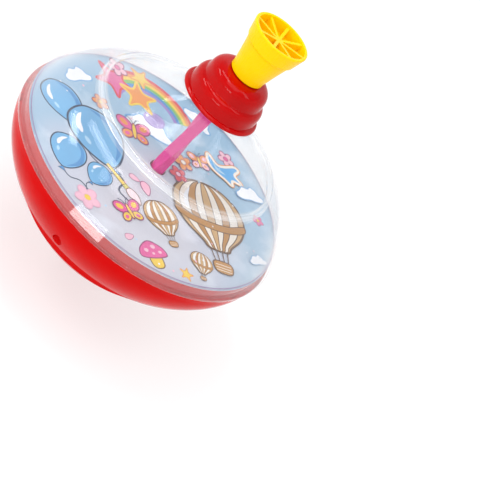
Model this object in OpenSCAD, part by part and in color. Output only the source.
// Pump-action spinning top: a red bowl and a clear dome clamped round a printed disc, a stepped red
// collar, and a yellow knob on a twisted rod that drives the body round through a clutch.
// The origin is where the foot tip touches the ground, and +Z is the spin axis.
// Heights inside the modules are measured from the joint between the bowl and the dome (see lift()).

/* [Body] */
// Radius of the clear rim, the widest part of the top
rim_r = 95.8; // [95.4:0.1:96.2]
// Height of the bowl's joint with the dome above the ground
rim_z = 91; // [90:0.5:93]
// Wall of the clear dome
dome_wall = 2.0; // [1.6:0.1:2.4]
// Wall of the red bowl
bowl_wall = 2.2; // [1.8:0.1:2.6]

/* [Pump] */
// How far the knob pulls up
pump_stroke = 100; // [80:1:104]
// Height of one full turn of the twisted rod
rod_pitch = 200; // [160:5:240]
// Half of the rod's width across its flats
rod_flat = 3.6; // [3.4:0.1:3.7]
// Radius of the rod over its rounded corners
rod_corner = 4.75; // [4.5:0.05:4.8]
// Number of ribs in the knob's top
knob_ribs = 8; // [6:1:10]

/* [Bowl details] */
// Number of turned steps round the bowl
bowl_steps = 5; // [3:1:6]
// Radius of the circle that the case screws stand on
case_screw_r = 85.5; // [85:0.1:86]
// Number of case screws
case_screw_count = 4; // [4:1:4]
// Diameter of a case screw's well
well_d = 7; // [6.4:0.2:7.4]
// Number of sound holes on the hub's circle, with the two screws counted
sound_hole_count = 12; // [10:2:14]

/* [Electrics] */
// Diameter of a button cell
cell_d = 11.6; // [11.2:0.1:11.6]
// Thickness of a button cell
cell_h = 5.4; // [5:0.1:5.4]
// How far the sound switch slides
switch_travel = 4; // [3:0.5:4]

/* [Hidden] */
$fn = 96;

// Clear dome: the step between its outer shoulder and its raised middle, then the neck
ring_outer = [64.4, 38.0];
ring_inner = [62.0, 41.6];
neck_r = 22;
neck_top = 76;
neck_foot = [26.6, 68.6];
// Clutch: its plate stands on the neck, and the driver's teeth clear it while the rod is pulled up
clutch_top = 79.8;
tooth = [2.4, 1.7, 4.5];
driver_z = 83.5;
driver_t = 3.4;
// Collar tiers
collar_bottom = 69.8;
collar_step = [72.6, 83.2];
collar_top = 94.4;
collar_r = [26.5, 24.2, 20.7];
collar_cavity = [18.2, 80.2, 92];
// Knob
knob_bottom = 94.8;
knob_top = 128;
knob_r = [11.3, 15.6, 18.9];
knob_lip_z = 116.8;
recess_floor = 121;
rib_w = 1.9;
// Rod, its end bush and the tube that guides them: pulled up, the bush stops under the clutch plate
rod_bottom = neck_top - pump_stroke - 0.4;
rod_top = 112;
bush_h = 6;
bush_r = 5.5;
pin_r = 2.6;
tube_r = [5.7, 7.2];
tube_bottom = rod_bottom - 10;
// Printed disc and the plate that carries it
disc_z = 6.8;
disc_t = 0.4;
disc_r = 92.0;
carrier_t = 1.8;
carrier_z = disc_z - carrier_t;
// Bowl: shoulder, stepped belt, smooth band and hub seat
spigot_r = [90.2, 91.7];
dome_seat_r = 92.4;
flange_r = 94.8;
belt_top = [79.8, -30];
belt_bottom = [61.5, -47.5];
band_end = [33, -69];
hub_r = 31;
hub_seat_z = -67.4;
speaker_r = 15.8;
// Screws
well_floor_z = -6;
boss_end_z = -3.5;
hub_screw_r = 19.5;
sound_hole_d = 2.8;
// Battery door, at the bowl's -X side
door_x = [-62.5, -40.5];
door_half = 17.5;
door_gap = 0.3;
door_screw_x = -58.4;
door_seat_z = -46.8;
door_boss_top = -43.9;
cell_x = -47.2;
cell_pitch = 12.2;
cell_z = -48.2;
tray_z = [-49.6, -41.6];
// Circuit board
board_size = [62, 44, 1.6];
board_pos = [2, 0, -46];
board_screw_x = [-24, 27];
// Sound switch, in a window on the bowl's +X side
switch_turn = -9.5;
switch_point = [47.6, -58.9];
switch_tilt = -37;
slider = [5.6, 6.4];
window = [9, slider[1] + switch_travel + 2.2];
switch_seat = 2.8;

// Points on a quadratic curve from a to c, pulled towards b
function curve(a, b, c, n = 10) =
    [for (i = [0:n]) let (t = i / n) (1 - t) * (1 - t) * a + 2 * t * (1 - t) * b + t * t * c];

// The same points moved by one offset
function moved(points, by) = [for (p = points) p + by];

// The list in the opposite order
function backwards(points) = [for (i = [len(points) - 1:-1:0]) points[i]];

// The bowl's outer line, from the shoulder down to the hub
function shoulder_line() = curve([94.6, -1.5], [93.2, -15], belt_top);
function band_line() = curve(belt_bottom, [48, -59.5], band_end);
function belt_line() =
    let (fall = (belt_bottom - belt_top) / bowl_steps)
    [for (i = [0:bowl_steps - 1], p = [[-0.75, -0.2], [fall[0] + 0.5, fall[1] + 1.5], fall])
        if (i < bowl_steps - 1 || p != fall) belt_top + i * fall + p];
function bowl_outer() = concat(shoulder_line(), belt_line(), band_line());

// The bowl's inner line, one wall inside it, from just under the spigot
function bowl_inner() = concat(
    [for (i = [2:10]) shoulder_line()[i] + [-bowl_wall, 0.62 * bowl_wall]],
    moved(band_line(), [-0.65 * bowl_wall, bowl_wall])
);

// Moves a piece from the joint's height to its place above the ground
module lift(z = 0) translate([0, 0, rim_z + z]) children();

// Turns an outline of [radius, height] points round the spin axis
module spun(points) rotate_extrude($fn = 180) polygon(points);

// The solid inside the bowl's outer surface, and the space inside its wall
module bowl_solid() spun(concat([[0, -1.5]], bowl_outer(), [[0, band_end[1]]]));
module bowl_space() spun(concat([[0, 4]], [[spigot_r[0], 4]], [[spigot_r[0], -1]],
    bowl_inner(), [[0, band_end[1] + bowl_wall]]));

// A self-tapping screw with a domed cross head, its head's seat at z = 0 and its tip above
module screw(shank_r, head_r, length) {
    difference() {
        translate([0, 0, -0.5 * head_r]) cylinder(r1 = 0.7 * head_r, r2 = head_r, h = 0.5 * head_r);
        for (turn = [0, 90])
            rotate(turn) translate([-0.6 * head_r, -0.12 * head_r, -head_r])
                cube([1.2 * head_r, 0.24 * head_r, 0.75 * head_r]);
    }
    cylinder(r = shank_r, h = length - 1.5);
    translate([0, 0, length - 1.5]) cylinder(r1 = shank_r, r2 = 0.3 * shank_r, h = 1.5);
}

// Places children at each case screw
module at_case_screws()
    for (i = [0:case_screw_count - 1])
        rotate(i * 360 / case_screw_count - 3.5) translate([case_screw_r, 0, 0]) children();

// Places children square to the bowl's wall at the switch window, with z pointing inward
module at_switch()
    rotate(switch_turn) translate([switch_point[0], 0, switch_point[1]])
        rotate([0, switch_tilt, 0]) children();

module dome() {
    outer = concat(
        [[rim_r - 0.2, 0]],
        curve([rim_r, 2.5], [83, 33.5], ring_outer, 16),
        [[64.0, 41.2], ring_inner + [1.2, 0.3]],
        curve(ring_inner, [40, 51], neck_foot, 14),
        [[neck_r, 69.4], [neck_r, neck_top]]
    );
    inner = concat(
        [[neck_r - dome_wall, neck_top]],
        curve(neck_foot - [4.6, 1.2], [39.2, 48.9], ring_inner - [0.9, 2.1], 14),
        [[61.6, 36.4]],
        curve(ring_outer - [2.2, dome_wall], [81.2, 31.4], [91.4, disc_z + disc_t + 0.1], 16),
        [[dome_seat_r, disc_z + disc_t + 0.1], [dome_seat_r, 0]]
    );
    color([0.93, 0.94, 0.95, 0.35]) lift() spun(concat(outer, inner));
}

module collar() {
    // Each tier is near upright, with a rounded shoulder that runs in under the tier above
    outline = concat(
        [[25.6, collar_bottom], [collar_r[0] + 0.1, collar_bottom + 0.5]],
        [[collar_r[0], collar_step[0] - 1.1], [collar_r[0] - 0.9, collar_step[0] - 0.1]],
        [[collar_r[1] + 0.1, collar_step[0]], [collar_r[1], collar_step[0] + 0.8]],
        curve([collar_r[1] - 0.2, 77.6], [collar_r[1] - 0.4, 82],
            [collar_r[2] + 0.3, collar_step[1] - 0.2], 6),
        [[collar_r[2], collar_step[1]], [collar_r[2] - 0.1, collar_step[1] + 0.8]],
        curve([collar_r[2] - 0.5, 87.6], [19.7, 93.4], [13.2, collar_top], 8),
        [[5.3, collar_top], [5.3, collar_cavity[2]], [13, collar_cavity[2]]],
        [[collar_cavity[0], 88.2], [collar_cavity[0], collar_cavity[1]]],
        [[neck_r + 0.2, collar_cavity[1]], [neck_r + 0.2, collar_bottom]]
    );
    color("red") lift() spun(outline);
}

// One saw tooth of the clutch, standing on z = 0, its steep side at the end named
module clutch_tooth(steep = 1)
    translate([12.2, 0, 0]) rotate([90, 0, 90])
        linear_extrude(tooth[2]) polygon([[-tooth[0], 0], [tooth[0], 0], [steep * tooth[0], tooth[1]]]);

module clutch_ring()
    color("white") lift() {
        spun([[5.2, neck_top], [neck_r, neck_top], [neck_r, clutch_top], [5.2, clutch_top]]);
        for (turn = [0:30:330]) rotate(turn) translate([0, 0, clutch_top]) clutch_tooth();
    }

module driver()
    color("white") lift(driver_z) {
        difference() {
            spun([[0, 0], [17.2, 0], [17.2, 2.4], [8, 2.4], [8, driver_t], [0, driver_t]]);
            translate([0, 0, driver_t / 2])
                cube([2 * rod_flat + 0.5, 2 * rod_flat + 0.5, 5], center = true);
        }
        for (turn = [15:30:345]) rotate(turn) rotate([180, 0, 0]) clutch_tooth(-1);
    }

module knob() {
    body = concat(
        [[0, knob_bottom], [knob_r[0] - 0.6, knob_bottom], [knob_r[0], knob_bottom + 0.7]],
        curve([knob_r[0] + 0.1, 97.4], [12.9, 106], [knob_r[1], knob_lip_z], 8),
        [[knob_r[1] + 1.1, knob_lip_z + 1], [knob_r[2] - 0.4, knob_top - 2]],
        curve([knob_r[2] - 0.2, knob_top - 1.3], [knob_r[2], knob_top], [knob_r[2] - 1, knob_top], 4),
        [[knob_r[2] - 2.1, knob_top - 0.3], [16, recess_floor], [0, recess_floor]]
    );
    // The ribs dip from just under the lip to the hub
    rib_cone = [[0, recess_floor - 1], [16.4, recess_floor - 1], [17.3, 126.9], [3, 125], [0, 125]];
    color("gold") lift() {
        difference() {
            spun(body);
            translate([0, 0, knob_bottom - 1])
                cylinder(r = rod_corner + 0.15, h = rod_top - knob_bottom + 1);
        }
        intersection() {
            spun(rib_cone);
            union() {
                translate([0, 0, recess_floor]) cylinder(r = 2.8, h = 10);
                for (i = [0:knob_ribs - 1])
                    rotate(i * 360 / knob_ribs + 7.5)
                        translate([0, -rib_w / 2, recess_floor - 0.5]) cube([18, rib_w, 10]);
            }
        }
    }
}

// The rod's cross-section: a square with its corners cut to a circle
module rod_section()
    polygon([for (a = [0:22.5:337.5])
        min(rod_flat / max(abs(cos(a)), abs(sin(a))), rod_corner) * [cos(a), sin(a)]]);

module twisted_rod()
    color("hotpink") lift() {
        // The twist is counted from the driver, where the section stands square
        rotate((rod_bottom - driver_z - driver_t / 2) / rod_pitch * 360) translate([0, 0, rod_bottom])
            linear_extrude(rod_top - rod_bottom, twist = -(rod_top - rod_bottom) / rod_pitch * 360,
                slices = 72, $fn = 16) rod_section();
        translate([0, 0, rod_bottom - bush_h - 0.2]) cylinder(r = pin_r, h = bush_h + 0.4);
    }

module end_bush()
    color("white") lift(rod_bottom - bush_h - 0.1)
        difference() {
            cylinder(r = bush_r, h = bush_h);
            translate([0, 0, -1]) cylinder(r = pin_r + 0.05, h = bush_h + 2);
        }

module rod_end_screw()
    color("silver") lift(rod_bottom - bush_h - 0.2) mirror([0, 0, 1])
        difference() {
            cylinder(r1 = 4.2, r2 = 3, h = 1.8);
            translate([-3, -0.4, 1]) cube([6, 0.8, 2]);
        }

module picture_disc()
    color("lightblue") lift(disc_z)
        difference() {
            cylinder(r = disc_r, h = disc_t, $fn = 180);
            translate([0, 0, -1]) cylinder(r = tube_r[0] + 0.2, h = 3);
        }

module disc_carrier()
    color("white") lift() {
        difference() {
            union() {
                translate([0, 0, carrier_z]) cylinder(r = spigot_r[0] - 0.2, h = carrier_t, $fn = 180);
                for (r = [40, 70])
                    spun([[r, carrier_z - 4], [r + 1.6, carrier_z - 4], [r + 1.6, carrier_z], [r, carrier_z]]);
                at_case_screws() translate([0, 0, boss_end_z]) cylinder(r = 3.5, h = carrier_z - boss_end_z);
            }
            translate([0, 0, carrier_z - 1]) cylinder(r = tube_r[1] + 0.05, h = 4);
            at_case_screws() translate([0, 0, boss_end_z - 1]) cylinder(r = 1.25, h = 8);
            for (turn = [30, 150, 270])
                rotate(turn) translate([28, 0, carrier_z - 1]) cylinder(r = 2.6, h = 4);
        }
    }

module guide_tube()
    color("white") lift()
        spun([[tube_r[0], carrier_z - 2], [tube_r[0], tube_bottom + 1.5], [0, tube_bottom + 1.5],
            [0, tube_bottom], [tube_r[1], tube_bottom], [tube_r[1], carrier_z - 2],
            [12, carrier_z - 2], [12, carrier_z], [tube_r[1], carrier_z],
            [tube_r[1], disc_z], [tube_r[0], disc_z]]);

module lower_shell() {
    wall = concat(
        [[spigot_r[0], disc_z], [spigot_r[1], disc_z], [spigot_r[1], 0], [flange_r, 0]],
        [[flange_r, -1]], bowl_outer(),
        [[hub_r + 0.4, -69.2], [hub_r + 0.4, hub_seat_z], [speaker_r + 0.2, hub_seat_z]],
        [[speaker_r + 0.2, hub_seat_z + bowl_wall], [hub_r + 0.5, hub_seat_z + bowl_wall]],
        backwards(bowl_inner()), [[spigot_r[0], -1]]
    );
    color("red") lift()
        difference() {
            union() {
                spun(wall);
                intersection() {
                    bowl_solid();
                    union() {
                        at_case_screws()
                            translate([0, 0, -30]) cylinder(r = well_d / 2 + 1.6, h = 30 + boss_end_z);
                        for (x = board_screw_x)
                            translate([x, 0, -66]) cylinder(r = 3, h = board_pos[2] + 66);
                    }
                }
                // Snap lugs that hold the dome's rim
                for (turn = [14, 104, 194, 284])
                    rotate(turn) intersection() {
                        spun([[spigot_r[0] + 0.5, 0.8], [dome_seat_r - 0.1, 0.8],
                            [dome_seat_r - 0.1, 4.6], [spigot_r[0] + 0.5, 4.6]]);
                        translate([80, -3.2, 0]) cube([20, 6.4, 6]);
                    }
                // Bosses for the two hub screws
                for (side = [-1, 1])
                    translate([0, side * hub_screw_r, hub_seat_z + 1]) cylinder(r = 3, h = 7);
            }
            at_case_screws() {
                translate([0, 0, -60]) cylinder(d = well_d, h = 60 + well_floor_z);
                translate([0, 0, -20]) cylinder(r = 1.7, h = 20);
            }
            for (side = [-1, 1])
                translate([0, side * hub_screw_r, hub_seat_z - 1]) cylinder(r = 1.1, h = 8);
            for (x = board_screw_x)
                translate([x, 0, board_pos[2] - 8]) cylinder(r = 1.0, h = 10);
            translate([door_x[0] - door_gap, -door_half - door_gap, -80])
                cube([door_x[1] - door_x[0] + 2 * door_gap, 2 * (door_half + door_gap), 40]);
            at_switch() cube([window[0], window[1], 12], center = true);
        }
}

module case_screws()
    color("silver") lift(well_floor_z) at_case_screws() screw(1.25, 2.8, 9.5);

module hub_cover() {
    plate = concat(
        [[hub_r, hub_seat_z], [hub_r, -69.6]],
        curve([30.4, -70.2], [24.5, -74.4], [17.2, -76], 6),
        [[16.6, -77.6]],
        curve([15.8, -78.4], [13, -82.6], [8.4, -83.4], 6),
        [[7.9, -82.8], [4.1, -82.8], [4.1, -74], [13.4, -74]],
        [[hub_r - 4, hub_seat_z - 1.6], [hub_r - 4, hub_seat_z]]
    );
    color("red") lift()
        difference() {
            union() {
                spun(plate);
                for (side = [-1, 1])
                    translate([0, side * hub_screw_r, -73.6]) cylinder(r = 3.6, h = hub_seat_z + 73.6);
            }
            // Sound holes in two groups, between the screws
            for (side = [0, 180], i = [1:sound_hole_count / 2 - 1])
                rotate(side + 90 + i * 360 / sound_hole_count)
                    translate([hub_screw_r, 0, -82]) cylinder(d = sound_hole_d, h = 20);
            for (side = [-1, 1])
                translate([0, side * hub_screw_r, -82]) {
                    cylinder(r = 1.5, h = 20);
                    cylinder(r = 2.7, h = 10.6);
                }
        }
}

module hub_screws()
    color("silver") lift(-71.4)
        for (side = [-1, 1]) translate([0, side * hub_screw_r, 0]) screw(1.1, 2.5, 9);

module foot_tip()
    color("red") lift()
        spun(concat(
            [[0, -rim_z], [1.4, -rim_z]],
            [for (a = [12:13:90]) [6.85 * sin(a), 6.85 * (1 - cos(a)) - rim_z]],
            [[6.85, -82.8], [4, -82.8], [4, -72.5], [5.6, -72.5], [4, -70.6], [0, -70.6]]
        ));

module battery_door()
    color("red") lift()
        difference() {
            intersection() {
                bowl_solid();
                union() {
                    difference() {
                        translate([door_x[0], -door_half, -80])
                            cube([door_x[1] - door_x[0], 2 * door_half, 60]);
                        translate([0, 0, 0.01]) bowl_space();
                    }
                    translate([door_screw_x, 0, -60]) cylinder(r = 3.9, h = 60 + door_boss_top);
                }
            }
            translate([door_screw_x, 0, -80]) cylinder(r = 1.6, h = 50);
            translate([door_screw_x, 0, -80]) cylinder(r = 2.95, h = 80 + door_seat_z);
        }

module door_screw()
    color("silver") lift(door_seat_z) translate([door_screw_x, 0, 0]) screw(1.25, 2.7, 8);

module battery_tray()
    color("white") lift()
        difference() {
            union() {
                intersection() {
                    translate([-55.6, -19.6, tray_z[0]]) cube([15.6, 39.2, tray_z[1] - tray_z[0]]);
                    translate([0, 0, 0.03]) bowl_space();
                }
                translate([door_screw_x, 0, door_boss_top + 0.2]) cylinder(r = 3.4, h = 5.6);
                translate([-55.6, -3.4, tray_z[1] - 1]) cube([4, 6.8, 1]);
            }
            for (i = [-1:1])
                translate([cell_x, i * cell_pitch, tray_z[0] - 1])
                    cylinder(d = cell_d + 0.3, h = cell_z + cell_h + 0.6 - tray_z[0] + 1);
            translate([door_screw_x, 0, -60]) cylinder(r = 4.2, h = 60.1 + door_boss_top);
            translate([door_screw_x, 0, -60]) cylinder(r = 1.3, h = 22);
        }

module button_cells()
    color("silver") lift(cell_z)
        for (i = [-1:1])
            translate([cell_x, i * cell_pitch, 0]) {
                cylinder(d = cell_d, h = cell_h - 0.6);
                translate([0, 0, cell_h - 0.6]) cylinder(d = cell_d - 2.4, h = 0.5);
            }

module cell_contacts()
    color("silver") lift(cell_z + cell_h)
        for (i = [-1:1])
            translate([cell_x, i * cell_pitch, 0]) {
                cylinder(r = 3.2, h = 0.3);
                translate([-0.9, 0, 0.1]) cube([1.8, 5.2, 0.3]);
            }

module circuit_board()
    color("green") lift(board_pos[2])
        difference() {
            translate([board_pos[0] - board_size[0] / 2, -board_size[1] / 2, 0]) cube(board_size);
            for (x = board_screw_x) translate([x, 0, -1]) cylinder(r = 1.4, h = 4);
        }

module circuit_parts()
    color("black") lift(board_pos[2] + board_size[2]) {
        translate([14, 10, 0]) cylinder(r = 6, h = 1.6);
        translate([-4, -16, 0]) cube([8, 5, 3]);
        for (x = [2, 8, 14]) translate([x, -9, 0]) cube([3.2, 1.6, 1]);
        for (y = [8, 16]) translate([-12, y, 0]) cylinder(r = 2.5, h = 6);
    }

module board_screws()
    color("silver") lift(board_pos[2] + board_size[2])
        for (x = board_screw_x) translate([x, 0, 0]) mirror([0, 0, 1]) screw(1.0, 2.3, 7);

module motion_switch()
    color("silver") lift(board_pos[2] + board_size[2]) translate([26, -14, 0]) {
        cylinder(r = 2.6, h = 8);
        translate([0, 0, 8]) cylinder(r1 = 2.6, r2 = 1.8, h = 0.8);
    }

module leds()
    color("white") lift()
        for (turn = [30, 150, 270])
            rotate(turn) translate([28, 0, carrier_z - 1]) {
                cylinder(r = 2.9, h = 1);
                cylinder(r = 2.5, h = 1.4);
                translate([0, 0, 1.4]) intersection() {
                    sphere(r = 2.5);
                    cylinder(r = 3, h = 1.3);
                }
                for (y = [-1.27, 1.27]) translate([0, y, -2.5]) cylinder(r = 0.3, h = 3);
            }

module speaker_frame()
    color("dimgray") lift()
        spun([[13.6, -67.2], [speaker_r, -67.2], [speaker_r, -64], [14.4, -63.4], [9, -60.4],
            [8.6, -60.4], [8.6, -61.6], [13.6, -65]]);

module speaker_cone()
    color("black") lift()
        spun([[0, -64.2], [4, -64.2], [5, -63.6], [13.3, -66.4], [13.5, -65.6], [8.4, -62.4], [0, -62.4]]);

module speaker_magnet()
    color("silver") lift()
        spun([[0, -62.2], [8.4, -62.2], [8.4, -60.4], [9.4, -60.4], [9.4, -55.6], [0, -55.6]]);

module switch_body()
    color("black") lift()
        intersection() {
            at_switch() difference() {
                translate([-6.6, -8.6, switch_seat]) cube([13.2, 17.2, 4.4]);
                translate([-slider[0] / 2 - 0.5, -window[1] / 2 + 0.2, 0])
                    cube([slider[0] + 1, window[1] - 0.4, 5.2]);
            }
            translate([0, 0, 0.05]) bowl_space();
        }

module switch_slider()
    color("red") lift() at_switch() translate([-slider[0] / 2, -window[1] / 2 + 0.8, 0]) {
        translate([0, 0, 0.7]) cube([slider[0], slider[1], 4.1]);
        for (i = [0:2]) translate([0, 1 + 1.8 * i, 0.3]) cube([slider[0], 0.8, 0.6]);
    }

dome();
collar();
clutch_ring();
driver();
knob();
twisted_rod();
end_bush();
rod_end_screw();
picture_disc();
disc_carrier();
guide_tube();
lower_shell();
case_screws();
hub_cover();
hub_screws();
foot_tip();
battery_door();
door_screw();
battery_tray();
button_cells();
cell_contacts();
circuit_board();
circuit_parts();
board_screws();
motion_switch();
leds();
speaker_frame();
speaker_cone();
speaker_magnet();
switch_body();
switch_slider();
